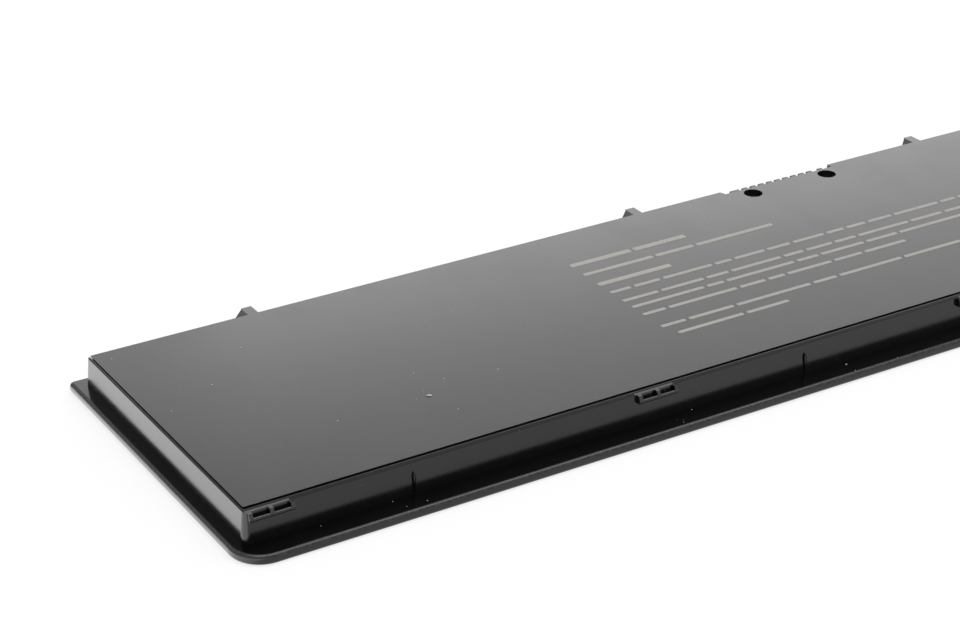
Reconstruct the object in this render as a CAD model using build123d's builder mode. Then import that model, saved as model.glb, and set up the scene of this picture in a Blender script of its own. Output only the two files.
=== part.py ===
from build123d import *
import os
from math import radians, tan

# A flat clip-in laptop battery, lying with its outer cover down.
# X runs along its length, Y from the latch side to the hook side and Z up.
# The origin is the middle of the cover's underside. Lengths are in millimetres.

# Block that drops into the laptop, measured along its top edges
block_length = 276.1
block_depth = 74.6
block_height = 6.9
block_corner = 1.5
wall_draft = 5.0

# Cover plate that closes the laptop's underside
plate_thickness = 2.3
side_flange = 3.25
front_flange = 6.2
rear_flange = 4.0
plate_front_corner = 7.0
plate_rear_corner = 1.2
plate_edge_fillet = 0.85
plate_foot_fillet = 0.9

# Walls and rim
floor_thickness = 1.3
side_rim = 0.4
front_rim = 1.35
back_wall = 1.6
rim_fillet = 0.3
rim_flat = 0.2
rim_slope = 8.0
inner_bevel_run = 0.25
inner_bevel_drop = 0.2

# Lid inside the rim
lid_thickness = 1.0
side_groove = 0.4
front_groove = 0.6
lid_ledge = 0.7
lip_thickness = 0.8
lip_depth = 0.6
lip_clearance = 0.2

# Latch pads on the front wall, two pairs mirrored about the middle
pad_length = 9.8
pad_height = 2.1
pad_lip = 1.0
pad_lip_proud = 1.15
pad_top_proud = 0.65
pad_root = 0.6
pad_fillet = 0.2
pad_under_fillet = 0.45
pad_web = 0.85
pad_outer_inset = 0.6
pad_inner_inset = 89.9

# Crush ribs on the front wall, placed from the block's left end
rib_places = (36.7, 133.5, 239.4)
rib_radius = 0.4
rib_height = 4.9
rib_point = 0.9
rib_sink = 0.7

# Rear hooks, placed from the block's left end
hook_places = (39.25, 141.9, 228.7)
hook_width = 2.5
hook_reach = 3.6
hook_thickness = 1.6
hook_gusset = 3.8
hook_gusset_reach = 3.3
hook_gusset_drop = 0.9
hook_tip_fillet = 0.2
hook_clearance = 0.2

# Locating holes in the lid, placed from the block's middle and back edge
hole_place = 46.25
hole_spacing = 22.8
hole_from_back = 4.6
hole_diameter = 4.6
hole_depth = 1.5
boss_wall = 0.6
boss_floor = 0.5

# Pouch cells in a row
cell_count = 4
cell_thickness = 5.8
cell_margin = 0.5
cell_corner = 2.0
cell_edge_chamfer = 0.6
seam_thickness = 0.4
seam_height = 4.2
terrace_depth = 4.5
terrace_thickness = 0.4
divider_thickness = 1.2
divider_height = 3.2

# Tapes under the cells and foam above them, two strips on each cell
strip_inset = 6.0
strip_width = 9.0
strip_gap = 21.0
tape_thickness = 0.3

# Cell tabs, their weld plates and the tape over them
tab_offset = 16.0
tab_width = 5.0
tab_thickness = 0.2
tab_inset = 0.3
weld_width = 6.4
weld_depth = 3.4
weld_inset = 0.4
weld_thickness = 0.3
cover_tape_width = 8.0
cover_tape_thickness = 0.15

# Circuit board in the bay behind the cells
board_bay = 9.6
partition_thickness = 1.0
partition_gap = 0.4
board_thickness = 1.0
board_clearance = 0.3
board_end = 2.7
board_corner = 0.8
board_standoff = 2.3
rest_count = 7
rest_thickness = 2.0
peg_radius = 0.7
peg_height = 0.6
peg_clearance = 0.15

# Connector in the notch of the back edge, placed from the block's middle
connector_place = 44.95
notch_length = 33.2
notch_depth = 1.6
connector_clearance = 0.15
connector_inset = 0.5
housing_depth = 5.5
comb_place = 43.85
comb_drop = 0.15
contact_count = 9
contact_pitch = 2.5
slot_width = 1.0
slot_floor = 0.6
slot_end_wall = 1.0
guide_margin = 0.35
guide_slot = 1.9
key_width = 1.4

# Spring contacts in the comb
fork_thickness = 0.2
fork_clearance = 0.05
fork_setback = 0.4
tail_width = 0.6
tail_reach = 0.7

# Chips: body length, depth, height, lead pitch and leads on each side
lead_width = 0.25
lead_reach = 0.8
lead_thickness = 0.2
gauge_size = (9.7, 4.4, 1.1)
gauge_pitch = 0.65
gauge_lead_count = 14
protector_size = (4.9, 3.9, 1.2)
protector_pitch = 1.27
protector_lead_count = 4
chip_standoff = 0.1

# Smaller parts on the board, placed from the chip, cell or connector that they go with
transistor_spacing = 9.0
transistor_size = (5.0, 6.0, 1.0)
shunt_spacing = 11.0
resistor_size = (6.4, 3.2, 0.6)
fuse_size = (5.2, 3.8, 0.9)
thermistor_offset = 8.8
thermistor_size = (2.0, 1.25, 0.8)
capacitor_size = (1.6, 0.8, 0.8)
capacitor_gap = 2.4
capacitor_pitch = 2.5
terminal_share = 0.25

# Levels and edges that follow from the sizes above
top_level = plate_thickness + block_height
seat_level = top_level - lid_thickness
draft_spread = block_height * tan(radians(wall_draft))
plate_length = block_length + 2 * side_flange
plate_depth = block_depth + front_flange + rear_flange
block_left = -block_length / 2
block_front = front_flange - plate_depth / 2
block_back = plate_depth / 2 - rear_flange
block_middle = (block_front + block_back) / 2

rim_edge = block_front + front_rim
lid_length = block_length - 2 * (side_rim + side_groove)
lid_front = rim_edge + front_groove
cavity_length = lid_length - 2 * lid_ledge
cavity_front = lid_front + lid_ledge
cavity_back = block_back - back_wall
cavity_depth = cavity_back - cavity_front

board_back = cavity_back - board_clearance
board_depth = board_bay - 2 * board_clearance
board_front = board_back - board_depth
board_middle = (board_front + board_back) / 2
board_rest = floor_thickness + board_standoff
board_level = board_rest + board_thickness
weld_level = board_level + weld_thickness
tab_level = weld_level + tab_thickness
partition_back = cavity_back - board_bay
partition_front = partition_back - partition_thickness

bay_pitch = (cavity_length + divider_thickness) / cell_count
bay_length = bay_pitch - divider_thickness
cell_centres = [(index - (cell_count - 1) / 2) * bay_pitch for index in range(cell_count)]
cell_length = bay_length - 2 * (cell_margin + seam_thickness)
cell_front = cavity_front + cell_margin
cell_back = partition_front - cell_margin
body_back = cell_back - terrace_depth
body_middle = (cell_front + body_back) / 2
cell_bottom = floor_thickness + tape_thickness
cell_top = cell_bottom + cell_thickness
foam_thickness = seat_level - cell_top

weld_middle = board_front + weld_inset + weld_depth / 2
tab_back = weld_middle + weld_depth / 2 - tab_inset
board_length = 2 * (cell_centres[-1] + tab_offset + weld_width / 2 + board_end)
peg_places = (cell_centres[0], cell_centres[-1])

boss_bottom = top_level - hole_depth - boss_floor
hole_row = block_back - hole_from_back
notch_front = block_back - notch_depth
housing_length = notch_length - 2 * connector_clearance
housing_left = connector_place - housing_length / 2
housing_right = connector_place + housing_length / 2
housing_back = block_back - connector_inset
housing_front = housing_back - housing_depth
housing_top = boss_bottom - connector_clearance
comb_front = notch_front + connector_clearance
comb_top = top_level - comb_drop
slot_level = board_level + slot_floor
slot_front = housing_front + slot_end_wall
fork_top = housing_top - fork_clearance
fork_back = housing_back - fork_setback


def from_left(places):
    """Turns distances from the block's left end into X positions."""
    return [block_left + place for place in places]


def facing_front(y):
    """Gives the upright plane at Y, with X to the right and Z up, that faces the latch side."""
    return Plane.XZ.offset(-y)


def save(part, name):
    """Labels a finished piece and writes it as a STEP file."""
    part.label = name
    export_step(part, f"parts/{name}.step")


os.makedirs("parts", exist_ok=True)

# Outer shell: the cover plate and the walls, moulded as one piece
pad_inset_centres = (pad_outer_inset + pad_length / 2, pad_inner_inset + pad_length / 2)
pad_centres = [side * (block_left + inset) for side in (1, -1) for inset in pad_inset_centres]
pad_face = block_front - pad_lip_proud
pad_back = block_front + pad_root
lip_bottom = top_level - pad_height
lip_top = lip_bottom + pad_lip
web_spacing = (pad_length - pad_web) / 2
web_lefts = [x + side * web_spacing - pad_web / 2 for x in pad_centres for side in (-1, 0, 1)]
rib_row = block_front - draft_spread * rib_sink
rim_back = rim_edge - inner_bevel_run
rim_front = rim_back - rim_flat
bevel_foot = top_level - inner_bevel_drop
slope_end = pad_face - pad_fillet
slope_foot = top_level - (rim_front - slope_end) * tan(radians(rim_slope))


def lip_edges(shell):
    """Finds the long edges of the latch pads' front faces, in rows from the lowest up."""
    lips = shell.faces().filter_by(lambda face: abs(face.center().Y - pad_face) < pad_fillet / 10)
    return lips.edges().filter_by(Axis.X).group_by(Axis.Z)


with BuildPart() as outer_shell:
    with BuildSketch():
        Rectangle(plate_length, plate_depth)
        fillet(vertices().group_by(Axis.Y)[0], plate_front_corner)
        fillet(vertices().group_by(Axis.Y)[-1], plate_rear_corner)
    extrude(amount=plate_thickness)
    fillet(faces().sort_by(Axis.Z)[-1].edges(), plate_edge_fillet)
    fillet(faces().sort_by(Axis.Z)[0].edges(), plate_foot_fillet)
    # The block's walls lean in towards the top, as a moulding leaves its tool
    with BuildSketch(Plane.XY.offset(plate_thickness)):
        with Locations((0, block_middle)):
            RectangleRounded(block_length + 2 * draft_spread, block_depth + 2 * draft_spread, block_corner)
    extrude(amount=block_height, taper=wall_draft)
    fillet(faces().sort_by(Axis.Z)[-1].edges(), rim_fillet)
    # Latch pads: a lip with three webs on it, which leave two open pockets
    with BuildSketch(facing_front(pad_face)):
        with Locations(*[(x, lip_bottom) for x in pad_centres]):
            Rectangle(pad_length, pad_lip, align=(Align.CENTER, Align.MIN))
    extrude(amount=-(pad_lip_proud + pad_root))
    fillet(lip_edges(outer_shell)[-1], pad_fillet)
    fillet(lip_edges(outer_shell)[0], pad_under_fillet)
    web_foot = lip_top - pad_fillet
    web_front = [(pad_face, web_foot), (pad_face, lip_top), (block_front - pad_top_proud, top_level)]
    with BuildSketch(*[Plane.YZ.offset(x) for x in web_lefts]):
        Polygon((pad_back, web_foot), *web_front, (pad_back, top_level), align=None)
    extrude(amount=pad_web)
    # Crush ribs with pointed tops
    with Locations(*[(x, rib_row, plate_thickness) for x in from_left(rib_places)]):
        Cylinder(rib_radius, rib_height - rib_point, align=(Align.CENTER, Align.CENTER, Align.MIN))
    rib_shoulder = plate_thickness + rib_height - rib_point
    with Locations(*[(x, rib_row, rib_shoulder) for x in from_left(rib_places)]):
        Cone(rib_radius, 0, rib_point, align=(Align.CENTER, Align.CENTER, Align.MIN))
    # Inside space, and the step round its mouth that the lid sits on
    with BuildSketch(Plane.XY.offset(floor_thickness)):
        with Locations((0, (cavity_front + cavity_back) / 2)):
            Rectangle(cavity_length, cavity_depth)
    extrude(amount=seat_level - floor_thickness, mode=Mode.SUBTRACT)
    with BuildSketch(Plane.XY.offset(seat_level)):
        with Locations((0, rim_edge)):
            Rectangle(lid_length + 2 * side_groove, plate_depth, align=(Align.CENTER, Align.MIN))
    extrude(amount=lid_thickness, mode=Mode.SUBTRACT)
    # The front rim keeps a narrow flat: it is bevelled to the groove, and slopes down over the pads
    with BuildSketch(Plane.YZ.offset(block_left + side_rim)):
        Polygon((rim_edge, top_level), (rim_back, top_level), (rim_edge, bevel_foot), align=None)
        Polygon((rim_front, top_level), (slope_end, top_level), (slope_end, slope_foot), align=None)
    extrude(amount=block_length - 2 * side_rim, mode=Mode.SUBTRACT)
    # Notch in the back wall for the connector
    with BuildSketch(Plane.XY.offset(board_level - connector_clearance)):
        with Locations((connector_place, cavity_back)):
            Rectangle(notch_length, 2 * back_wall, align=(Align.CENTER, Align.MIN))
    extrude(amount=block_height, mode=Mode.SUBTRACT)
    # Low walls between the cells, and the partition in front of the board
    with BuildSketch(Plane.XY.offset(floor_thickness)):
        with Locations((0, cavity_front)):
            with GridLocations(bay_pitch, 1, cell_count - 1, 1):
                divider_depth = partition_front - cavity_front
                Rectangle(divider_thickness, divider_depth, align=(Align.CENTER, Align.MIN))
    extrude(amount=divider_height)
    with BuildSketch(Plane.XY.offset(floor_thickness)):
        with Locations((0, partition_front)):
            Rectangle(cavity_length, partition_thickness, align=(Align.CENTER, Align.MIN))
    extrude(amount=weld_level - partition_gap - floor_thickness)
    # Rests under the board, with a peg on the first and the last
    with BuildSketch(Plane.XY.offset(floor_thickness)):
        with Locations((0, partition_back)):
            with GridLocations((peg_places[1] - peg_places[0]) / (rest_count - 1), 1, rest_count, 1):
                Rectangle(rest_thickness, board_bay, align=(Align.CENTER, Align.MIN))
    extrude(amount=board_standoff)
    with BuildSketch(Plane.XY.offset(board_rest)):
        with Locations(*[(x, board_middle) for x in peg_places]):
            Circle(peg_radius)
    extrude(amount=board_thickness + peg_height)
save(outer_shell.part, "outer_shell")

# Inner cover: the lid, its hooks, locating holes and the lip that centres it
hook_centres = from_left(hook_places)
hook_tip = block_back + hook_reach
hole_centres = [(hole_place + side * hole_spacing / 2, hole_row) for side in (-1, 1)]

with BuildPart() as inner_cover:
    with BuildSketch(Plane.XY.offset(seat_level)):
        with Locations((0, lid_front)):
            Rectangle(lid_length, block_back - lid_front, align=(Align.CENTER, Align.MIN))
    extrude(amount=lid_thickness)
    with BuildSketch(Plane.XY.offset(seat_level)):
        with Locations((0, (cavity_front + cavity_back) / 2)):
            Rectangle(cavity_length - 2 * lip_clearance, cavity_depth - 2 * lip_clearance)
            offset(amount=-lip_thickness, kind=Kind.INTERSECTION, mode=Mode.SUBTRACT)
    extrude(amount=-lip_depth)
    # Hooks: a straight tongue with a sloping gusset on its left
    with BuildSketch(Plane.XY.offset(seat_level)):
        with Locations(*[(x, block_back) for x in hook_centres]):
            Rectangle(hook_width, hook_reach, align=(Align.CENTER, Align.MIN))
        with Locations(*[(x - hook_width / 2, block_back) for x in hook_centres]):
            Polygon((0, 0), (-hook_gusset, 0), (0, hook_gusset_reach), align=None)
    extrude(amount=lid_thickness)
    with BuildSketch(facing_front(block_back)):
        with Locations(*[(x - hook_width / 2, top_level) for x in hook_centres]):
            Polygon((0, 0), (-hook_gusset, 0), (-hook_gusset, -hook_gusset_drop), align=None)
    extrude(amount=-hook_reach, mode=Mode.SUBTRACT)
    with BuildSketch(Plane.XY.offset(top_level - hook_thickness)):
        with Locations(*[(x, hook_tip) for x in hook_centres]):
            Rectangle(hook_width, hook_reach - hook_clearance, align=(Align.CENTER, Align.MAX))
    extrude(amount=hook_thickness)
    upright_edges = edges().filter_by(Axis.Z)
    tips = upright_edges.filter_by(lambda edge: abs(edge.center().Y - hook_tip) < hook_tip_fillet / 10)
    fillet(tips, hook_tip_fillet)
    # Blind locating holes, each in a boss under the lid
    with BuildSketch(Plane.XY.offset(boss_bottom)):
        with Locations(*hole_centres):
            Circle(hole_diameter / 2 + boss_wall)
    extrude(amount=seat_level - boss_bottom)
    with BuildSketch(Plane.XY.offset(top_level)):
        with Locations(*hole_centres):
            Circle(hole_diameter / 2)
    extrude(amount=-hole_depth, mode=Mode.SUBTRACT)
    # Notch above the connector
    with BuildSketch(Plane.XY.offset(boss_bottom)):
        with Locations((connector_place, notch_front)):
            Rectangle(notch_length, 2 * notch_depth, align=(Align.CENTER, Align.MIN))
    extrude(amount=top_level - boss_bottom, mode=Mode.SUBTRACT)
save(inner_cover.part, "inner_cover")

# Pouch cells: a rounded pillow, folded side seams and the sealed terrace that the tabs leave by
for number, cell_x in enumerate(cell_centres, 1):
    with BuildPart() as cell:
        with BuildSketch(Plane.XY.offset(cell_bottom)):
            with Locations((cell_x, body_middle)):
                RectangleRounded(cell_length, body_back - cell_front, cell_corner)
        extrude(amount=cell_thickness)
        chamfer(faces().sort_by(Axis.Z)[0].edges(), cell_edge_chamfer)
        chamfer(faces().sort_by(Axis.Z)[-1].edges(), cell_edge_chamfer)
        with BuildSketch(Plane.XY.offset(cell_bottom + (cell_thickness - seam_height) / 2)):
            with Locations((cell_x, body_middle)):
                Rectangle(cell_length + 2 * seam_thickness, body_back - cell_front - 2 * cell_corner)
        extrude(amount=seam_height)
        with BuildSketch(Plane.XY.offset(tab_level - (tab_thickness + terrace_thickness) / 2)):
            with Locations((cell_x, cell_back)):
                terrace_root = terrace_depth + cell_edge_chamfer
                Rectangle(cell_length - 2 * cell_corner, terrace_root, align=(Align.CENTER, Align.MAX))
        extrude(amount=terrace_thickness)
    save(cell.part, f"cell_{number}")


def strips(level, thickness):
    """Makes two flat strips for each cell.

    Args:
        level: height of the strips' underside.
        thickness: height of the strips.

    Returns:
        The strips as one group of separate solids.
    """
    with BuildPart() as group:
        with BuildSketch(Plane.XY.offset(level)):
            for cell_x in cell_centres:
                with Locations((cell_x, body_middle)):
                    with GridLocations(strip_width, strip_width + strip_gap, 1, 2):
                        Rectangle(cell_length - 2 * strip_inset, strip_width)
        extrude(amount=thickness)
    return group.part


save(strips(floor_thickness, tape_thickness), "cell_tapes")
save(strips(cell_top, foam_thickness), "foam_pads")

# Tabs: neighbouring cells face each other with unlike tabs, so that links stay short
left_tabs = [x - tab_offset for x in cell_centres]
right_tabs = [x + tab_offset for x in cell_centres]


def tab_group(centres, width, front, back, level, thickness):
    """Makes one flat strip at each tab.

    Args:
        centres: X positions of the strips.
        width: strip size along X.
        front: Y of the strips' front ends.
        back: Y of the strips' back ends.
        level: height of the strips' underside.
        thickness: height of the strips.

    Returns:
        The strips as one group of separate solids.
    """
    with BuildPart() as group:
        with BuildSketch(Plane.XY.offset(level)):
            with Locations(*[(x, front) for x in centres]):
                Rectangle(width, back - front, align=(Align.CENTER, Align.MIN))
        extrude(amount=thickness)
    return group.part


weld_front = weld_middle - weld_depth / 2
weld_back = weld_middle + weld_depth / 2
all_tabs = left_tabs + right_tabs
save(tab_group(left_tabs, tab_width, cell_back, tab_back, weld_level, tab_thickness), "positive_tabs")
save(tab_group(right_tabs, tab_width, cell_back, tab_back, weld_level, tab_thickness), "negative_tabs")
save(tab_group(all_tabs, weld_width, weld_front, weld_back, board_level, weld_thickness), "weld_plates")
tape_front = cell_back + tab_inset
tab_tapes = tab_group(all_tabs, cover_tape_width, tape_front, tab_back, tab_level, cover_tape_thickness)
save(tab_tapes, "tab_tapes")

# Circuit board on its rests, over two pegs
with BuildPart() as protection_board:
    with BuildSketch(Plane.XY.offset(board_rest)):
        with Locations((0, board_middle)):
            RectangleRounded(board_length, board_depth, board_corner)
        with Locations(*[(x, board_middle) for x in peg_places]):
            Circle(peg_radius + peg_clearance, mode=Mode.SUBTRACT)
    extrude(amount=board_thickness)
save(protection_board.part, "protection_board")

# Connector housing: a low body on the board, with a comb that rises into the lid's notch
comb_left = comb_place - (contact_count - 1) * contact_pitch / 2
slot_centres = [comb_left + index * contact_pitch for index in range(contact_count)]
right_guide = housing_right - guide_margin - guide_slot / 2
left_guide = housing_left + guide_margin + guide_slot / 2
guide_centres = (left_guide, right_guide - guide_slot - key_width, right_guide)

with BuildPart() as connector_housing:
    with BuildSketch(Plane.XY.offset(board_level)):
        with Locations((connector_place, housing_back)):
            Rectangle(housing_length, housing_depth, align=(Align.CENTER, Align.MAX))
    extrude(amount=housing_top - board_level)
    with BuildSketch(Plane.XY.offset(board_level)):
        with Locations((connector_place, housing_back)):
            Rectangle(housing_length, housing_back - comb_front, align=(Align.CENTER, Align.MAX))
    extrude(amount=comb_top - board_level)
    with BuildSketch(Plane.XY.offset(slot_level)):
        with Locations(*[(x, housing_back) for x in slot_centres]):
            Rectangle(slot_width, housing_back - slot_front, align=(Align.CENTER, Align.MAX))
        with Locations(*[(x, housing_back) for x in guide_centres]):
            Rectangle(guide_slot, housing_back - slot_front, align=(Align.CENTER, Align.MAX))
    extrude(amount=comb_top - slot_level, mode=Mode.SUBTRACT)
    with BuildSketch(Plane.XY.offset(slot_level)):
        with Locations(*[(x, housing_front) for x in slot_centres]):
            Rectangle(tail_width + 2 * fork_clearance, slot_end_wall, align=(Align.CENTER, Align.MIN))
    extrude(amount=fork_thickness + fork_clearance, mode=Mode.SUBTRACT)
save(connector_housing.part, "connector_housing")

# Spring contacts: a fork in each slot, with a tail that bends down to the board
fork_width = slot_width - 2 * fork_clearance
fork_height = fork_top - slot_level
fork_length = fork_back - slot_front - fork_clearance
tail_back = slot_front + fork_clearance
tail_front = housing_front - tail_reach

with BuildPart() as contact_forks:
    with BuildSketch(facing_front(fork_back)):
        with Locations(*[(x, slot_level) for x in slot_centres]):
            Rectangle(fork_width, fork_height, align=(Align.CENTER, Align.MIN))
        with Locations(*[(x, slot_level + fork_thickness) for x in slot_centres]):
            gap_width = fork_width - 2 * fork_thickness
            Rectangle(gap_width, fork_height, align=(Align.CENTER, Align.MIN), mode=Mode.SUBTRACT)
    extrude(amount=fork_length)
    with BuildSketch(Plane.XY.offset(slot_level)):
        with Locations(*[(x, tail_front) for x in slot_centres]):
            Rectangle(tail_width, tail_back - tail_front, align=(Align.CENTER, Align.MIN))
    extrude(amount=fork_thickness)
    with BuildSketch(Plane.XY.offset(board_level)):
        with Locations(*[(x, tail_front) for x in slot_centres]):
            Rectangle(tail_width, fork_thickness, align=(Align.CENTER, Align.MIN))
    extrude(amount=slot_level - board_level)
save(contact_forks.part, "contact_forks")


def leaded_chip(x, size, pitch, leads):
    """Makes a chip with gull-wing leads along both long sides, standing on the board.

    Args:
        x: place along the board.
        size: body length, depth and height.
        pitch: spacing of the leads.
        leads: number of leads on each side.

    Returns:
        The chip as one solid.
    """
    length, depth, height = size
    shoulder = board_level + chip_standoff + height / 2
    with BuildPart() as chip:
        with BuildSketch(Plane.XY.offset(board_level + chip_standoff)):
            with Locations((x, board_middle)):
                Rectangle(length, depth)
        extrude(amount=height)
        chamfer(faces().sort_by(Axis.Z)[-1].edges(), chip_standoff)
        with BuildSketch(Plane.XY.offset(shoulder)):
            with Locations((x, board_middle)):
                with GridLocations(pitch, 1, leads, 1):
                    Rectangle(lead_width, depth + 2 * lead_reach)
        extrude(amount=-lead_thickness)
        with BuildSketch(Plane.XY.offset(board_level)):
            with Locations((x, board_middle)):
                with GridLocations(pitch, depth + 2 * lead_reach - lead_thickness, leads, 2):
                    Rectangle(lead_width, lead_thickness)
        extrude(amount=shoulder - board_level)
    return chip.part


gauge_x = (cell_centres[1] + cell_centres[2]) / 2
protector_x = (cell_centres[0] + cell_centres[1]) / 2
save(leaded_chip(gauge_x, gauge_size, gauge_pitch, gauge_lead_count), "gauge_chip")
save(leaded_chip(protector_x, protector_size, protector_pitch, protector_lead_count), "protector_chip")


def flat_parts(places, size):
    """Makes block-shaped parts with raised end terminals, soldered flat on the board.

    Args:
        places: positions along the board.
        size: length, depth and height of each part.

    Returns:
        The parts as one group of separate solids.
    """
    length, depth, height = size
    cap = length * terminal_share
    with BuildPart() as group:
        with BuildSketch(Plane.XY.offset(board_level)):
            with Locations(*[(x, board_middle) for x in places]):
                Rectangle(length, depth)
        extrude(amount=height)
        with BuildSketch(Plane.XY.offset(board_level + height)):
            with Locations(*[(x, board_middle) for x in places]):
                with GridLocations(length - cap, 1, 2, 1):
                    Rectangle(cap, depth)
        extrude(amount=chip_standoff)
    return group.part


# Power transistors over the last cell, shunt and fuse over the second, and a sensor over the first
transistor_places = [cell_centres[-1] + side * transistor_spacing / 2 for side in (-1, 1)]
fuse_place, resistor_place = [cell_centres[1] + side * shunt_spacing / 2 for side in (-1, 1)]
save(flat_parts(transistor_places, transistor_size), "power_transistors")
save(flat_parts([resistor_place], resistor_size), "sense_resistor")
save(flat_parts([fuse_place], fuse_size), "fuse_link")
save(flat_parts([cell_centres[0] + thermistor_offset], thermistor_size), "thermistor")

# Capacitors on both sides of the chips and at the connector's right end
gauge_edge = gauge_size[0] / 2 + capacitor_gap
protector_edge = protector_size[0] / 2 + capacitor_gap
capacitor_places = [gauge_x - gauge_edge - capacitor_pitch, gauge_x - gauge_edge]
capacitor_places += [gauge_x + gauge_edge, gauge_x + gauge_edge + capacitor_pitch]
capacitor_places += [protector_x - protector_edge, protector_x + protector_edge]
capacitor_places += [housing_right + capacitor_gap, housing_right + capacitor_gap + capacitor_pitch]
save(flat_parts(capacitor_places, capacitor_size), "board_capacitors")
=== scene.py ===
"""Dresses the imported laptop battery: moulded plastic, printed bars, settled dust, studio light and camera."""
import logging
import math
import random
from dataclasses import dataclass
from enum import Enum
from typing import Any

import bmesh
import bpy
from mathutils import Matrix, Vector


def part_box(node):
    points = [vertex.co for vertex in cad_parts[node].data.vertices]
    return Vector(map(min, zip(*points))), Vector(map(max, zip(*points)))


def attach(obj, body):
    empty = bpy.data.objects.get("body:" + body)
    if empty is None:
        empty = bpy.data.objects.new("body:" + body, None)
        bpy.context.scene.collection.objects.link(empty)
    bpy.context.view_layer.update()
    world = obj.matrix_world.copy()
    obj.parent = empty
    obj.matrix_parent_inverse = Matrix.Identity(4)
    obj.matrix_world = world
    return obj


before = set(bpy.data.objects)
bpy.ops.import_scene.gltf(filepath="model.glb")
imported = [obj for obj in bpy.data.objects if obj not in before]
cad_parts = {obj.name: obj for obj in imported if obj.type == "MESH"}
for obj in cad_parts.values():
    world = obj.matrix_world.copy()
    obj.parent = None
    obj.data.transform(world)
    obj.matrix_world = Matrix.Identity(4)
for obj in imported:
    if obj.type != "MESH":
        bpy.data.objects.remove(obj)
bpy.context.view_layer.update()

LOG = logging.getLogger("laptop_battery")
BODY = "root"
MM = 0.001
Colour = tuple[float, float, float]
Point = tuple[float, float, float]

CLOUD_SIZE = 38 * MM
SMUDGE_SIZE = 11 * MM
MOTE_SPACING = 2.3 * MM
MOTE_DRIFT = 5 * MM
MOTE_COLOUR: Colour = (0.23, 0.225, 0.215)
INK_COLOUR: Colour = (0.4, 0.375, 0.35)
LINT_COLOUR: Colour = (0.8, 0.79, 0.77)
WHITE: Colour = (1.0, 1.0, 1.0)

# Heights of the surfaces that dust lies on, in millimetres.
ON_PLATE = 2.3
IN_GROOVE = 8.2
ON_LID = 9.2


def shade(colour: Colour, factor: float) -> Colour:
    """Gives a darker or lighter kind of a colour, with 1 as its most."""
    return tuple(min(1.0, part * factor) for part in colour)


class Slot(Enum):
    """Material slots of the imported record."""

    SHELL = "shell_plastic"
    LID = "lid_plastic"
    CONNECTOR = "connector_plastic"
    CONTACT = "contact_metal"
    POUCH = "pouch_foil"
    ALUMINIUM = "tab_aluminium"
    NICKEL = "tab_nickel"
    AMBER_TAPE = "amber_tape"
    WHITE_TAPE = "white_tape"
    FOAM = "foam"
    BOARD = "board_laminate"
    CHIP = "chip_resin"
    RESISTOR = "resistor_alloy"
    FUSE = "fuse_ceramic"
    CAPACITOR = "capacitor_ceramic"


class Value:
    """A shader socket that takes Python arithmetic, where each operator adds one Math node."""

    def __init__(self, graph: "Graph", socket: bpy.types.NodeSocket) -> None:
        """Keeps the socket and the graph that it belongs to."""
        self.graph = graph
        self.socket = socket

    def _math(self, operation: str, first: Any, second: Any) -> "Value":
        """Adds a Math node on two values."""
        return self.graph.node("ShaderNodeMath", {"operation": operation}, {0: first, 1: second})

    def __add__(self, other: Any) -> "Value":
        """Sum."""
        return self._math("ADD", self, other)

    def __radd__(self, other: Any) -> "Value":
        """Sum with a number on the left."""
        return self._math("ADD", other, self)

    def __sub__(self, other: Any) -> "Value":
        """Difference."""
        return self._math("SUBTRACT", self, other)

    def __rsub__(self, other: Any) -> "Value":
        """Difference from a number on the left."""
        return self._math("SUBTRACT", other, self)

    def __mul__(self, other: Any) -> "Value":
        """Product."""
        return self._math("MULTIPLY", self, other)

    def __rmul__(self, other: Any) -> "Value":
        """Product with a number on the left."""
        return self._math("MULTIPLY", other, self)

    def larger(self, other: Any) -> "Value":
        """The larger of two values."""
        return self._math("MAXIMUM", self, other)

    def rise(self, low: float, high: float) -> "Value":
        """A smooth step.

        Args:
            low: value at which the step starts at 0.
            high: value at which the step has reached 1.

        Returns:
            The step as a value from 0 to 1.
        """
        settings = {"interpolation_type": "SMOOTHSTEP"}
        inputs = {"Value": self, "From Min": low, "From Max": high}
        return self.graph.node("ShaderNodeMapRange", settings, inputs)


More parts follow.
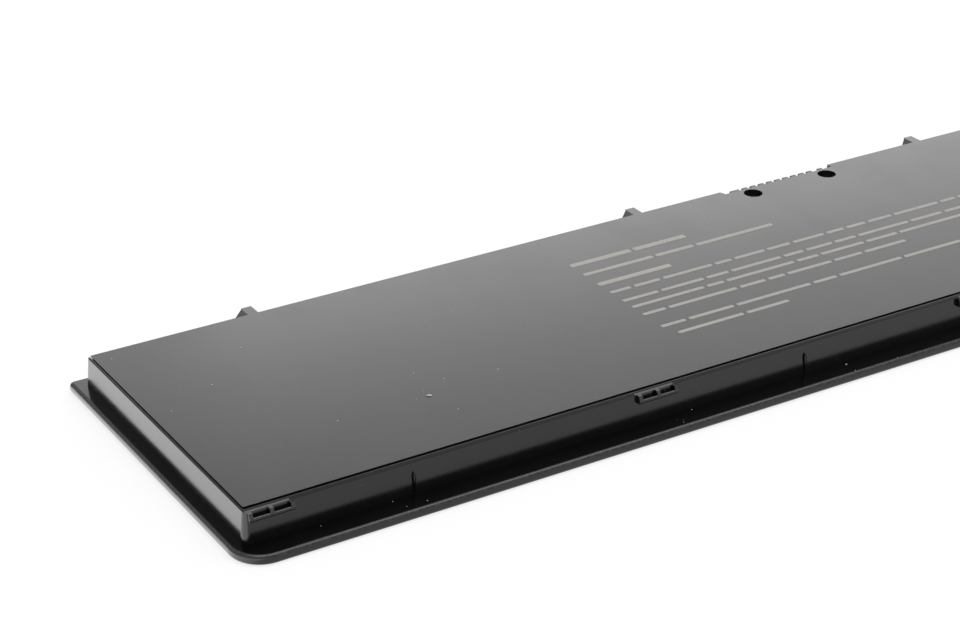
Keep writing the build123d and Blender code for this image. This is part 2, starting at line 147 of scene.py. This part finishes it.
class Graph:
    """Nodes of one material, lamp or world."""

    def __init__(self, tree: bpy.types.NodeTree) -> None:
        """Starts an empty tree."""
        self.tree = tree
        tree.nodes.clear()

    @staticmethod
    def _find(sockets: Any, key: int | str) -> bpy.types.NodeSocket:
        """Finds a socket.

        Args:
            sockets: a node's inputs or outputs.
            key: the socket's number, identifier or name.

        Returns:
            The socket.
        """
        if isinstance(key, int):
            return sockets[key]
        return next((s for s in sockets if s.identifier == key), None) or sockets[key]

    def node(self, kind: str, settings: dict[str, Any] | None = None, inputs: dict[Any, Any] | None = None,
             output: int | str = 0) -> Value:
        """Adds a node.

        Args:
            kind: the node's type.
            settings: its properties, which are set first.
            inputs: socket key to a value, colour or number.
            output: key of the output that is given back.

        Returns:
            That output.
        """
        made = self.tree.nodes.new(kind)
        for key, value in (settings or {}).items():
            setattr(made, key, value)
        for key, value in (inputs or {}).items():
            socket = self._find(made.inputs, key)
            if isinstance(value, Value):
                self.tree.links.new(value.socket, socket)
            elif socket.type == "RGBA":
                socket.default_value = (*value, 1.0)
            else:
                socket.default_value = value
        return Value(self, self._find(made.outputs, output)) if made.outputs else None

    def place(self, stretch: Point = (1.0, 1.0, 1.0)) -> Value:
        """Object coordinates in metres, stretched about the frame's origin.

        Args:
            stretch: factor along each axis.

        Returns:
            The coordinates.
        """
        raw = self.node("ShaderNodeTexCoord", output="Object")
        return self.node("ShaderNodeMapping", None, {"Vector": raw, "Scale": stretch})

    def noise(self, size: float, detail: float = 2.0, stretch: Point = (1.0, 1.0, 1.0)) -> Value:
        """Soft noise from 0 to 1.

        Args:
            size: size of its blotches in metres.
            detail: octaves of finer noise on them.
            stretch: factor on the coordinates along each axis.

        Returns:
            The noise.
        """
        inputs = {"Vector": self.place(stretch), "Scale": 1.0 / size, "Detail": detail, "Roughness": 0.55}
        return self.node("ShaderNodeTexNoise", None, inputs, "Fac")

    def cells(self, size: float) -> Value:
        """Distance in a field of scattered points, as a share of their spacing.

        Args:
            size: spacing of the points in metres.

        Returns:
            The distance to the nearest point.
        """
        inputs = {"Vector": self.place(), "Scale": 1.0 / size}
        return self.node("ShaderNodeTexVoronoi", {"feature": "F1"}, inputs, "Distance")

    def blend(self, share: Any, first: Any, second: Any) -> Value:
        """Mixes two colours.

        Args:
            share: how much of the second shows, from 0 to 1.
            first: colour at 0.
            second: colour at 1.

        Returns:
            The mixed colour.
        """
        inputs = {"Factor_Float": share, "A_Color": first, "B_Color": second}
        return self.node("ShaderNodeMix", {"data_type": "RGBA"}, inputs, "Result_Color")

    def bump(self, height: Value, depth: float) -> Value:
        """Turns a height from 0 to 1 into a bumped normal.

        Args:
            height: the height.
            depth: its full depth in metres.

        Returns:
            The normal.
        """
        return self.node("ShaderNodeBump", None, {"Height": height, "Distance": depth, "Strength": 1.0})

    def surface(self, **inputs: Any) -> None:
        """Adds the shader and the output.

        Args:
            **inputs: the shader's sockets, with underscores for spaces.
        """
        named = {key.replace("_", " "): value for key, value in inputs.items()}
        shader = self.node("ShaderNodeBsdfPrincipled", None, named)
        self.node("ShaderNodeOutputMaterial", None, {"Surface": shader})


class Finish:
    """A material that is painted once and then shared."""

    name: str

    def nodes(self, graph: Graph) -> None:
        """Adds the finish's own nodes."""
        raise NotImplementedError

    def material(self) -> bpy.types.Material:
        """The finish as a material, made at its first use."""
        found = bpy.data.materials.get(self.name)
        if found is None:
            found = bpy.data.materials.new(self.name)
            found.use_nodes = True
            self.nodes(Graph(found.node_tree))
        return found


@dataclass(frozen=True)
class MouldedPlastic(Finish):
    """Black moulded plastic: fine tool grain, faint handling smudges and a little settled dust."""

    name: str
    colour: Colour
    roughness: float
    ior: float
    grain_size: float
    grain_depth: float
    dust: float

    def wear_and_painted_light(self, graph: Graph, tone: Value) -> Value:
        """Gives the clean colour back; a kind with wear lays its traces and its painted light and shade on it.
        """
        return tone

    def nodes(self, graph: Graph) -> None:
        """Paints colour, roughness and grain."""
        cloud = graph.noise(CLOUD_SIZE, 3.0)
        smudge = graph.noise(SMUDGE_SIZE, 4.0, (1.0, 0.6, 1.0)).rise(0.42, 0.72)
        grain = graph.noise(self.grain_size, 2.0)
        motes = graph.cells(MOTE_SPACING).rise(0.11, 0.05) * graph.noise(MOTE_DRIFT, 1.0).rise(0.52, 0.62)
        tone = graph.blend(cloud, shade(self.colour, 0.8), shade(self.colour, 1.25))
        dusty = graph.blend(motes * self.dust, self.wear_and_painted_light(graph, tone), MOTE_COLOUR)
        graph.surface(
            Base_Color=dusty,
            Roughness=self.roughness + (smudge - 0.5) * 0.035 + (grain - 0.5) * 0.05,
            IOR=self.ior,
            Normal=graph.bump(grain, self.grain_depth),
        )


@dataclass(frozen=True)
class CoverPlastic(MouldedPlastic):
    """Moulded plastic of the outer shell: painted light on the open flange with painted shade left in the
    crease by the walls, scuffing with a painted highlight along the flange edge, and rubbing with painted
    highlights on the latch pads' edges.
    """

    # Colours of the painted light on the open flange, of the scuffing with its painted highlight on the flange
    # edge, and of the rubbing with painted highlights on the pad edges.
    painted_flange_light: Colour
    scuff_and_highlight: Colour
    rub_and_highlight: Colour
    level: float
    half_length: float
    front: float
    back: float
    pad_middle: float
    pad_spread: float
    pad_half: float
    lip_front: float
    lip_level: float
    web_level: float
    crest_front: float
    crest_level: float
    fade: float = 0.15 * MM
    # Distances from the walls where the painted light on the flange starts and where it is full; nearer the
    # walls the flange keeps a painted shade in the crease.
    flange_light_start: float = 0.3 * MM
    flange_light_full: float = 4.5 * MM
    # Grain of the breakup of the scuffing and of its painted highlight on the flange edge.
    scuff_and_highlight_grain: float = 0.5 * MM

    def wear_and_painted_light(self, graph: Graph, tone: Value) -> Value:
        """Lays painted light on the cover plate's flange away from the walls, which leaves painted shade in the
        crease, scuffing with a painted highlight on its rounded edge, and rubbing with painted highlights on
        the edges of the latch pads.

        Args:
            graph: the material's nodes.
            tone: the clean colour.

        Returns:
            The colour with all traces.
        """
        place = graph.place()
        x, y, z = (graph.node("ShaderNodeSeparateXYZ", None, {"Vector": place}, axis) for axis in "XYZ")
        facing = graph.node("ShaderNodeTexCoord", output="Normal")
        up = graph.node("ShaderNodeSeparateXYZ", None, {"Vector": facing}, "Z")
        plate = z.rise(self.level + 0.2 * self.fade, self.level)
        reach = (x.larger(0 - x) - self.half_length).larger(self.front - y).larger(y - self.back)
        # Painted light: the flange pales away from the walls, so the crease by the walls stays darker as
        # painted shade.
        flange_lit = graph.blend(reach.rise(self.flange_light_start, self.flange_light_full) * plate, tone, self.painted_flange_light)
        # Scuffing on the plate's rounded top edge, which also serves as a painted highlight along that edge.
        edge = up.rise(0.99, 0.94) * up.rise(0.1, 0.45) * plate
        scuff_and_highlight_breakup = 0.45 + graph.noise(self.scuff_and_highlight_grain, 2.0).rise(0.35, 0.65) * 0.55
        worn_and_highlit = graph.blend(edge * scuff_and_highlight_breakup, flange_lit, self.scuff_and_highlight)
        # Rubbing on the edges of the latch pads' lip and crest, which also serves as painted highlights along
        # those edges.
        aside = x.larger(0 - x) - self.pad_middle
        off_pad = aside.larger(0 - aside) - self.pad_spread
        on_pad = off_pad.larger(0 - off_pad).rise(self.pad_half, self.pad_half - 2 * self.fade)
        outside = y.rise(self.lip_front + self.fade, self.lip_front)
        proud = outside * z.rise(self.lip_level - self.fade, self.lip_level)
        rounded = up.rise(0.12, 0.3) * up.rise(0.97, 0.9)
        lip = proud * rounded * (1 - z.rise(self.web_level - self.fade, self.web_level) * 0.55)
        high = z.rise(self.crest_level - self.fade, self.crest_level)
        crest = on_pad * high * y.rise(self.crest_front + self.fade, self.crest_front)
        return graph.blend(lip.larger(crest), worn_and_highlit, self.rub_and_highlight)


@dataclass(frozen=True)
class PrintInk(Finish):
    """Thin pale screen print, a little broken at the grain of the plastic under it."""

    name: str
    colour: Colour
    roughness: float = 0.55

    def nodes(self, graph: Graph) -> None:
        """Paints a pale ink with fine gaps."""
        gaps = graph.noise(0.35 * MM, 3.0).rise(0.6, 0.7)
        worn = graph.noise(4 * MM, 2.0)
        pale = graph.blend(worn, shade(self.colour, 0.86), self.colour)
        graph.surface(
            Base_Color=graph.blend(gaps * 0.6, pale, (0.02, 0.02, 0.02)),
            Roughness=self.roughness + worn * 0.1,
            Normal=graph.bump(gaps, 0.01 * MM),
        )


@dataclass(frozen=True)
class Fluff(Finish):
    """Pale dust and lint."""

    name: str
    colour: Colour

    def nodes(self, graph: Graph) -> None:
        """Paints a rough pale grain."""
        grain = graph.noise(0.12 * MM, 2.0)
        graph.surface(
            Base_Color=graph.blend(grain, shade(self.colour, 0.7), self.colour),
            Roughness=0.85 + grain * 0.1,
            Normal=graph.bump(grain, 0.04 * MM),
        )


@dataclass(frozen=True)
class PouchFoil(Finish):
    """Matt laminated foil with soft dents and a fine embossed weave."""

    name: str
    colour: Colour

    def nodes(self, graph: Graph) -> None:
        """Paints dull silver with dents."""
        dents = graph.noise(14 * MM, 3.0)
        weave = graph.cells(0.9 * MM)
        graph.surface(
            Base_Color=graph.blend(dents, shade(self.colour, 0.86), self.colour),
            Metallic=0.9,
            Roughness=0.34 + dents * 0.12 + weave * 0.08,
            Normal=graph.bump(dents * 0.85 + weave * 0.15, 0.12 * MM),
        )


@dataclass(frozen=True)
class RolledMetal(Finish):
    """Thin rolled strip with fine lines along its rolling direction."""

    name: str
    colour: Colour
    roughness: float
    lines: Point

    def nodes(self, graph: Graph) -> None:
        """Paints metal with stretched lines."""
        streak = graph.noise(0.25 * MM, 3.0, self.lines)
        stain = graph.noise(6 * MM, 2.0)
        graph.surface(
            Base_Color=graph.blend(stain, shade(self.colour, 0.85), self.colour),
            Metallic=1.0,
            Roughness=self.roughness + (streak - 0.5) * 0.2,
            Normal=graph.bump(streak, 0.006 * MM),
        )


@dataclass(frozen=True)
class Film(Finish):
    """Smooth adhesive tape, with faint ripples and trapped bubbles."""

    name: str
    colour: Colour
    roughness: float

    def nodes(self, graph: Graph) -> None:
        """Paints tinted film."""
        ripple = graph.noise(5 * MM, 2.0)
        bubbles = graph.cells(1.6 * MM).rise(0.2, 0.1)
        graph.surface(
            Base_Color=graph.blend(bubbles * 0.4, self.colour, shade(self.colour, 1.4)),
            Roughness=self.roughness + ripple * 0.1,
            Normal=graph.bump(ripple * 0.8 + bubbles * 0.2, 0.03 * MM),
        )


@dataclass(frozen=True)
class OpenFoam(Finish):
    """Fine open-cell foam."""

    name: str
    colour: Colour

    def nodes(self, graph: Graph) -> None:
        """Paints dark pores."""
        pores = graph.cells(0.5 * MM)
        graph.surface(
            Base_Color=graph.blend(pores, shade(self.colour, 0.4), shade(self.colour, 1.6)),
            Roughness=0.92,
            Normal=graph.bump(pores, 0.15 * MM),
        )


@dataclass(frozen=True)
class BoardLaminate(Finish):
    """Lacquered circuit board with tracks along its length and plated through-holes."""

    name: str
    colour: Colour
    track: Colour
    plating: Colour = (0.62, 0.46, 0.2)

    def nodes(self, graph: Graph) -> None:
        """Paints lacquer, tracks and holes."""
        wave = {"wave_type": "BANDS", "bands_direction": "Y"}
        inputs = {"Vector": graph.place(), "Scale": 160.0, "Distortion": 0.0}
        bands = graph.node("ShaderNodeTexWave", wave, inputs, "Fac").rise(0.45, 0.55)
        tracks = bands * graph.noise(9 * MM, 1.0, (1.0, 0.05, 1.0)).rise(0.42, 0.46)
        holes = graph.cells(3.1 * MM).rise(0.13, 0.1)
        lacquer = graph.blend(tracks, self.colour, self.track)
        graph.surface(
            Base_Color=graph.blend(holes, lacquer, self.plating),
            Metallic=holes * 0.9,
            Roughness=0.3 + graph.noise(3 * MM) * 0.12,
            Normal=graph.bump(tracks, 0.035 * MM),
        )


@dataclass(frozen=True)
class CastBody(Finish):
    """Moulded or fired body of a board part, with plated ends above a level."""

    name: str
    colour: Colour
    end_level: float
    end_colour: Colour = (0.7, 0.69, 0.66)

    def nodes(self, graph: Graph) -> None:
        """Paints a fine grain and the plated ends."""
        grain = graph.noise(0.15 * MM, 2.0)
        split = graph.node("ShaderNodeSeparateXYZ", None, {"Vector": graph.place()}, "Z")
        ends = split.rise(self.end_level, self.end_level + 0.02 * MM)
        body = graph.blend(grain, shade(self.colour, 0.8), shade(self.colour, 1.2))
        graph.surface(
            Base_Color=graph.blend(ends, body, self.end_colour),
            Metallic=ends * 0.9,
            Roughness=0.5 + grain * 0.2 - ends * 0.2,
            Normal=graph.bump(grain, 0.01 * MM),
        )


BOARD_LEVEL = 4.6 * MM
FINISHES: dict[Slot, Finish] = {
    Slot.SHELL: CoverPlastic(
        name="black_shell_plastic", colour=(0.0006, 0.0006, 0.0007), roughness=0.18, ior=1.5,
        grain_size=0.32 * MM, grain_depth=0.0012 * MM, dust=0.2,
        # Painted flange light, scuffing with a painted edge highlight, and rubbing with painted highlights on
        # the pads.
        painted_flange_light=(0.003, 0.003, 0.003), scuff_and_highlight=(0.055, 0.054, 0.052), rub_and_highlight=(0.12, 0.118, 0.115),
        level=ON_PLATE * MM, half_length=138.65 * MM, front=-36.8 * MM, back=39 * MM,
        pad_middle=88.5 * MM, pad_spread=44.65 * MM, pad_half=4.9 * MM, lip_front=-36.75 * MM,
        lip_level=7.85 * MM, web_level=8.2 * MM, crest_front=-35.8 * MM, crest_level=9.0 * MM,
    ),
    Slot.LID: MouldedPlastic(
        name="black_lid_plastic", colour=(0.0065, 0.0064, 0.0064), roughness=0.3, ior=1.58,
        grain_size=0.3 * MM, grain_depth=0.003 * MM, dust=0.2,
    ),
    Slot.CONNECTOR: MouldedPlastic(
        name="black_comb_plastic", colour=(0.008, 0.008, 0.008), roughness=0.38, ior=1.55,
        grain_size=0.2 * MM, grain_depth=0.003 * MM, dust=0.2,
    ),
    Slot.CONTACT: RolledMetal("gilt_contact", (0.86, 0.63, 0.28), 0.26, (1.0, 0.1, 1.0)),
    Slot.POUCH: PouchFoil("pouch_foil", (0.66, 0.67, 0.69)),
    Slot.ALUMINIUM: RolledMetal("aluminium_strip", (0.78, 0.78, 0.79), 0.32, (1.0, 0.06, 1.0)),
    Slot.NICKEL: RolledMetal("nickel_strip", (0.63, 0.6, 0.55), 0.3, (1.0, 0.06, 1.0)),
    Slot.AMBER_TAPE: Film("amber_tape", (0.5, 0.2, 0.03), 0.22),
    Slot.WHITE_TAPE: Film("white_tape", (0.72, 0.71, 0.67), 0.6),
    Slot.FOAM: OpenFoam("grey_foam", (0.05, 0.05, 0.055)),
    Slot.BOARD: BoardLaminate("green_laminate", (0.012, 0.085, 0.035), (0.025, 0.15, 0.06)),
    Slot.CHIP: CastBody("chip_resin", (0.022, 0.022, 0.023), BOARD_LEVEL + 1.05 * MM),
    Slot.RESISTOR: CastBody("resistor_alloy", (0.2, 0.19, 0.18), BOARD_LEVEL + 0.65 * MM),
    Slot.FUSE: CastBody("fuse_ceramic", (0.62, 0.6, 0.54), BOARD_LEVEL + 0.95 * MM),
    Slot.CAPACITOR: CastBody("capacitor_ceramic", (0.36, 0.25, 0.14), BOARD_LEVEL + 0.85 * MM),
}


def dress(nodes: dict[str, Slot]) -> None:
    """Gives CAD nodes their finishes.

    Args:
        nodes: node name to material slot.
    """
    for name, slot in nodes.items():
        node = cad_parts[name]
        node.data.materials.clear()
        node.data.materials.append(FINISHES[slot].material())
        LOG.info("dressed %s in %s", name, slot.value)


def add_piece(name: str, mesh: bmesh.types.BMesh, finish: Finish, slot: Slot) -> bpy.types.Object:
    """Turns a finished bmesh into a piece that rides on the battery.

    Args:
        name: the piece's name.
        mesh: its shape in the frame, in metres; it is freed.
        finish: its material.
        slot: not used.

    Returns:
        The new object.
    """
    data = bpy.data.meshes.new(name)
    mesh.to_mesh(data)
    mesh.free()
    data.materials.append(finish.material())
    piece = bpy.data.objects.new(name, data)
    bpy.context.scene.collection.objects.link(piece)
    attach(piece, BODY)
    LOG.info("built %s with %d faces", name, len(data.polygons))
    return piece


@dataclass
class Casing:
    """The two black mouldings: the outer shell and the lid."""

    def dress(self) -> None:
        """Gives both mouldings their plastic."""
        dress({"outer_shell": Slot.SHELL, "inner_cover": Slot.LID})


@dataclass
class CellPack:
    """The sealed cells with their tapes, foam and tabs."""

    cells: int = 4

    def dress(self) -> None:
        """Gives the cells and what lies on them their finishes."""
        dress({f"cell_{number}": Slot.POUCH for number in range(1, self.cells + 1)})
        dress({"cell_tapes": Slot.WHITE_TAPE, "foam_pads": Slot.FOAM, "tab_tapes": Slot.AMBER_TAPE})
        dress({"positive_tabs": Slot.ALUMINIUM, "negative_tabs": Slot.NICKEL, "weld_plates": Slot.NICKEL})


@dataclass
class CircuitBoard:
    """The board, its parts and the comb connector."""

    def dress(self) -> None:
        """Gives the board, its parts and the connector their finishes."""
        dress({"connector_housing": Slot.CONNECTOR, "contact_forks": Slot.CONTACT})
        dress({"protection_board": Slot.BOARD})
        dress({"gauge_chip": Slot.CHIP, "protector_chip": Slot.CHIP, "power_transistors": Slot.CHIP})
        dress({"sense_resistor": Slot.RESISTOR, "fuse_link": Slot.FUSE})
        dress({"thermistor": Slot.CAPACITOR, "board_capacitors": Slot.CAPACITOR})


@dataclass(frozen=True)
class BarRow:
    """One printed row in millimetres: Y of its middle, X of its ends, lengths and height of its bars."""

    y: float
    end: float
    lengths: tuple[float, ...]
    height: float = 1.1
    start: float = -26.05


@dataclass
class PrintedBars:
    """Rows of plain pale bars on the lid; gap, shortest and corner are in millimetres, as the rows are."""

    level: float
    rows: tuple[BarRow, ...]
    ink: float = 0.02 * MM
    sunk: float = 0.01 * MM
    gap: float = 1.0
    shortest: float = 2.6
    corner: float = 0.35

    def spans(self, row: BarRow) -> list[tuple[float, float]]:
        """Splits a row into bars by its repeating list of lengths.

        Args:
            row: the row.

        Returns:
            Start and end of each bar along X, in millimetres.
        """
        found, x, index = [], row.start, 0
        while x < row.end - self.shortest:
            stop = min(x + row.lengths[index % len(row.lengths)], row.end)
            found.append((x, stop))
            x, index = stop + self.gap, index + 1
        return found

    def build(self) -> None:
        """Makes all bars as one thin piece on the lid."""
        mesh = bmesh.new()
        for row in self.rows:
            for start, stop in self.spans(row):
                size = Vector(((stop - start) * MM, row.height * MM, self.ink + self.sunk))
                height = self.level + (self.ink - self.sunk) / 2
                middle = Vector(((start + stop) / 2 * MM, row.y * MM, height))
                place = Matrix.Translation(middle) @ Matrix.Diagonal((*size, 1.0))
                bar = bmesh.ops.create_cube(mesh, matrix=place)
                uprights = [e for e in {e for v in bar["verts"] for e in v.link_edges}
                            if abs(e.verts[0].co.z - e.verts[1].co.z) > self.ink / 2]
                bmesh.ops.bevel(mesh, geom=uprights, offset=self.corner * MM, offset_type="OFFSET",
                                segments=3, profile=0.5, affect="EDGES", material=-1)
        add_piece("printed_bars", mesh, PrintInk("pale_print", INK_COLOUR), Slot.LID)


@dataclass(frozen=True)
class Speck:
    """One grain of dust: its place, length, width and turn about Z, in millimetres and degrees."""

    place: Point
    length: float
    width: float
    turn: float


@dataclass
class SettledDust:
    """Grains of dust that lie on the lid, in its groove and on the cover plate's rim."""

    specks: tuple[Speck, ...]
    seed: int = 7
    flatness: float = 0.45
    lift: float = 0.3
    tilt: float = 0.2
    dent: float = 0.25
    bulge: float = 0.15

    def build(self) -> None:
        """Makes all grains as one piece."""
        dice = random.Random(self.seed)
        mesh = bmesh.new()
        for speck in self.specks:
            height = speck.width * self.flatness
            place = Vector(speck.place) * MM + Vector((0, 0, height * self.lift * MM))
            lean = Matrix.Rotation(dice.uniform(-self.tilt, self.tilt), 4, "X")
            turn = Matrix.Rotation(math.radians(speck.turn), 4, "Z") @ lean
            size = Matrix.Diagonal((speck.length / 2 * MM, speck.width / 2 * MM, height / 2 * MM, 1.0))
            grain = bmesh.ops.create_icosphere(mesh, subdivisions=2, radius=1.0,
                                               matrix=Matrix.Translation(place) @ turn @ size)
            for vertex in grain["verts"]:
                vertex.co += (vertex.co - place) * dice.uniform(-self.dent, self.bulge)
        add_piece("settled_dust", mesh, Fluff("pale_dust", LINT_COLOUR), Slot.LID)


@dataclass(frozen=True)
class Softbox:
    """A soft rectangular lamp that the camera doesn't see."""

    name: str
    place: Point
    target: Point
    width: float
    height: float
    radiance: float

    def build(self) -> None:
        """Adds the lamp, turned towards its target."""
        lamp = bpy.data.lights.new(self.name, "AREA")
        lamp.shape = "RECTANGLE"
        lamp.size, lamp.size_y = self.width, self.height
        lamp.energy = self.radiance * math.pi * self.width * self.height
        box = bpy.data.objects.new(self.name, lamp)
        box.location = self.place
        box.rotation_euler = (Vector(self.target) - Vector(self.place)).to_track_quat("-Z", "Y").to_euler()
        box.visible_camera = False
        bpy.context.scene.collection.objects.link(box)
        LOG.info("lit %s", self.name)


LAMPS = (
    Softbox("back_panel", (0.25, 0.3, 0.084), (0.25, 0.0, 0.084), width=0.5, height=0.168, radiance=1.0),
    Softbox("long_back_panel", (0.2, 0.305, 0.085), (0.2, 0.0, 0.085), width=0.62, height=0.17, radiance=0.8),
    Softbox("overhead", (0.05, -0.25, 1.0), (0.05, -0.25, 0.0), width=1.4, height=0.7, radiance=1.9),
)


@dataclass
class Studio:
    """White floor, even surroundings, softboxes and the camera."""

    camera_place: Point = (-0.301067, -0.389069, 0.24346)
    camera_turn: Point = (63.3596, 0.0446, -31.3913)
    lens: float = 89.7365
    floor_size: float = 8.0
    floor_drop: float = 0.02 * MM
    floor_colour: Colour = (0.26, 0.26, 0.26)
    floor_glow: float = 0.77
    left_glow: float = 1.6
    left_start: float = -0.1375
    left_full: float = -0.1432
    surround: float = 0.5
    brighter_side: Point = (0.68, 0.68, 0.28)
    brighter: float = 0.77
    brighter_from: float = 0.35
    brighter_full: float = 0.9
    brighter_top: float = 0.44
    brighter_fall: float = 0.1

    def floor(self) -> None:
        """Lays the floor: white to the camera, brighter to the left in reflections, clear from below."""
        mesh = bmesh.new()
        below = Matrix.Translation((0.0, 0.0, -self.floor_drop))
        bmesh.ops.create_grid(mesh, x_segments=8, y_segments=8, size=self.floor_size / 2, matrix=below)
        data = bpy.data.meshes.new("floor")
        mesh.to_mesh(data)
        mesh.free()
        paint = bpy.data.materials.new("white_floor")
        paint.use_nodes = True
        graph = Graph(paint.node_tree)
        lit = graph.node("ShaderNodeBsdfDiffuse", None, {"Color": self.floor_colour})
        seen = graph.node("ShaderNodeLightPath", output="Is Camera Ray")
        mirrored = graph.node("ShaderNodeLightPath", output="Is Glossy Ray")
        through = graph.node("ShaderNodeLightPath", output="Is Transmission Ray")
        spot = graph.node("ShaderNodeTexCoord", output="Object")
        along = graph.node("ShaderNodeSeparateXYZ", None, {"Vector": spot}, "X")
        beside = along.rise(self.left_start, self.left_full)
        left = mirrored * beside * self.left_glow
        share = seen.larger(mirrored).larger(through) * self.floor_glow + left
        glow = graph.node("ShaderNodeEmission", None, {"Color": WHITE, "Strength": share})
        both = graph.node("ShaderNodeAddShader", None, {0: lit, 1: glow})
        under = graph.node("ShaderNodeNewGeometry", output="Backfacing")
        clear = graph.node("ShaderNodeBsdfTransparent")
        sheet = graph.node("ShaderNodeMixShader", None, {0: under, 1: both, 2: clear})
        graph.node("ShaderNodeOutputMaterial", None, {"Surface": sheet})
        data.materials.append(paint)
        floor = bpy.data.objects.new("floor", data)
        bpy.context.scene.collection.objects.link(floor)

    def surroundings(self) -> None:
        """Sets even white surroundings that brighten towards one side."""
        world = bpy.data.worlds.new("studio")
        world.use_nodes = True
        bpy.context.scene.world = world
        graph = Graph(world.node_tree)
        way = graph.node("ShaderNodeTexCoord", output="Generated")
        side = graph.node("ShaderNodeVectorMath", {"operation": "DOT_PRODUCT"},
                          {0: way, 1: tuple(Vector(self.brighter_side).normalized())}, "Value")
        height = graph.node("ShaderNodeSeparateXYZ", None, {"Vector": way}, "Z")
        low = height.rise(self.brighter_top + self.brighter_fall, self.brighter_top)
        towards = side.rise(self.brighter_from, self.brighter_full)
        strength = self.surround + towards * low * self.brighter
        sky = graph.node("ShaderNodeBackground", None, {"Color": WHITE, "Strength": strength})
        graph.node("ShaderNodeOutputWorld", None, {"Surface": sky})

    def lamps(self) -> None:
        """Adds the panels behind the battery and the softbox above it."""
        for lamp in LAMPS:
            lamp.build()

    def camera(self) -> None:
        """Stands the camera where the photograph was taken from."""
        data = bpy.data.cameras.new("camera")
        data.lens = self.lens
        data.clip_start, data.clip_end = 0.01, 100.0
        stand = bpy.data.objects.new("camera", data)
        stand.location = self.camera_place
        stand.rotation_euler = [math.radians(angle) for angle in self.camera_turn]
        bpy.context.scene.collection.objects.link(stand)
        bpy.context.scene.camera = stand

    def build(self) -> None:
        """Sets up the whole studio."""
        self.floor()
        self.surroundings()
        self.lamps()
        self.camera()
        bpy.context.scene.view_settings.view_transform = "Standard"


LID_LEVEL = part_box("inner_cover")[1].z
ROWS = (
    BarRow(22.2, 8.2, (16.5, 14.5), height=1.61),
    BarRow(16.75, 29.0, (19.0, 10.5, 22.0), height=1.27),
    BarRow(10.85, -6.2, (20.0,), height=1.61),
    BarRow(6.05, 96.0, (5.5, 7.0, 13.5, 4.5, 8.5, 6.5, 9.0, 5.0)),
    BarRow(1.1, 92.0, (9.5, 11.5, 6.0, 14.0, 5.5, 7.5, 6.0, 15.0)),
    BarRow(-2.5, 88.0, (19.5, 4.5, 19.0, 6.0, 12.5, 9.0)),
    BarRow(-6.75, 51.8, (6.0, 18.5, 7.0, 4.5, 12.5, 8.0, 12.0)),
    BarRow(-13.6, 84.0, (6.5, 12.0, 20.5, 6.5, 18.0, 17.0, 6.0)),
    BarRow(-17.85, 5.5, (17.5, 12.0), start=-24.5),
)
SPECKS = (
    Speck((-84.9, -14.51, ON_LID), 1.35, 0.6, -31), Speck((-82.77, -4.29, ON_LID), 0.27, 0.23, 0),
    Speck((-84.98, -11.88, ON_LID), 0.23, 0.20, 40), Speck((-88.15, -14.69, ON_LID), 0.27, 0.23, 10),
    Speck((-78.52, -9.66, ON_LID), 0.27, 0.20, 80), Speck((-82.78, -22.56, ON_LID), 0.31, 0.27, 0),
    Speck((-105.99, -14.04, ON_LID), 0.27, 0.23, 30), Speck((-120.9, 13.14, ON_LID), 0.23, 0.23, 0),
    Speck((-108.4, 24.92, ON_LID), 0.35, 0.31, 15), Speck((-66.71, -11.98, ON_LID), 0.27, 0.23, 0),
    Speck((-134.0, 34.65, ON_LID), 0.31, 0.27, 50), Speck((-127.23, 36.73, ON_LID), 0.31, 0.23, 0),
    Speck((-132.86, 7.12, ON_LID), 0.27, 0.23, 70), Speck((5.68, -38.37, ON_PLATE), 0.42, 0.33, 30),
    Speck((17.19, -41.8, ON_PLATE), 0.23, 0.19, 0), Speck((5.54, -41.6, ON_PLATE), 0.21, 0.19, 60),
    Speck((-122.77, -37.88, ON_PLATE), 0.21, 0.16, 10), Speck((-34.84, -37.4, ON_PLATE), 0.21, 0.19, 0),
    Speck((-39.36, -40.87, ON_PLATE), 0.21, 0.16, 25), Speck((-106.57, -37.2, ON_PLATE), 0.16, 0.14, 0),
    Speck((-105.11, -40.23, ON_PLATE), 0.19, 0.16, 45), Speck((-100.6, -40.43, ON_PLATE), 0.21, 0.19, 0),
    Speck((-102.68, -34.6, IN_GROOVE), 0.47, 0.27, 0), Speck((-95.66, -34.6, IN_GROOVE), 0.55, 0.27, 5),
)


def main() -> None:
    """Builds and dresses the battery, then the studio."""
    logging.basicConfig(level=logging.INFO, format="%(name)s: %(message)s")
    Casing().dress()
    CellPack().dress()
    CircuitBoard().dress()
    PrintedBars(LID_LEVEL, ROWS).build()
    SettledDust(SPECKS).build()
    Studio().build()


if __name__ == "__main__":
    main()
